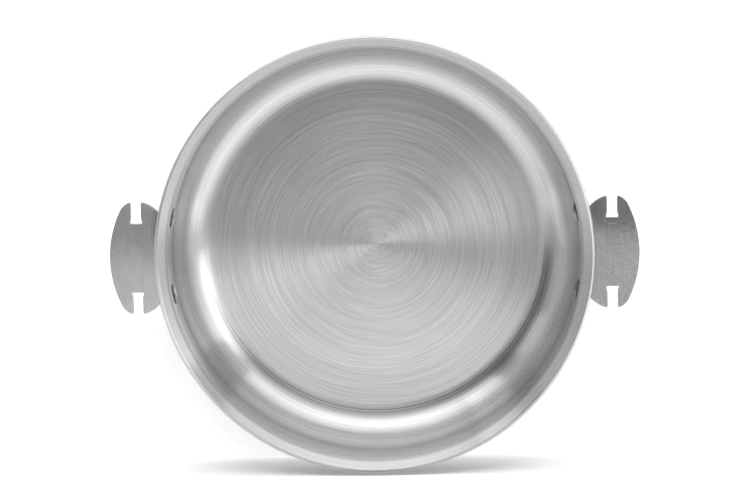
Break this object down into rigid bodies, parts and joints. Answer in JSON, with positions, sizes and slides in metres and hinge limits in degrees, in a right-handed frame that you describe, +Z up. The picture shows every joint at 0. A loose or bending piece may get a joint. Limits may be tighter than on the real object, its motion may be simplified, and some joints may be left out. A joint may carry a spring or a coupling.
{
  "type": "saute pan",
  "caption": "Round stainless saute pan with a flat base, flared rim and slotted side ears for a clip-on handle.",
  "frame": {"origin": "centre of the flat base, on the surface that the pan stands on", "axes": "+Z up along the pan's axis, +X towards the right ear, +Y towards the rear"},
  "size_m": [0.3072, 0.2548, 0.0589],
  "materials": {
    "cooking_steel": "turned brushing in fine rings on the floor and round the wall",
    "core_aluminium": "plain, only its edge shows in the rim",
    "outer_steel": "fine brushing round the wall and in rings on the base",
    "bracket_steel": "fine straight brushing along the ear, cut edges bright",
    "rivet_steel": "polished domed heads"
  },
  "bodies": {
    "root": {"inner_skin": "cooking_steel", "aluminium_core": "core_aluminium", "outer_skin": "outer_steel", "left_ear_bracket": "bracket_steel", "right_ear_bracket": "bracket_steel", "left_front_rivet": "rivet_steel", "left_rear_rivet": "rivet_steel", "right_front_rivet": "rivet_steel", "right_rear_rivet": "rivet_steel"}
  },
  "joints": []
}
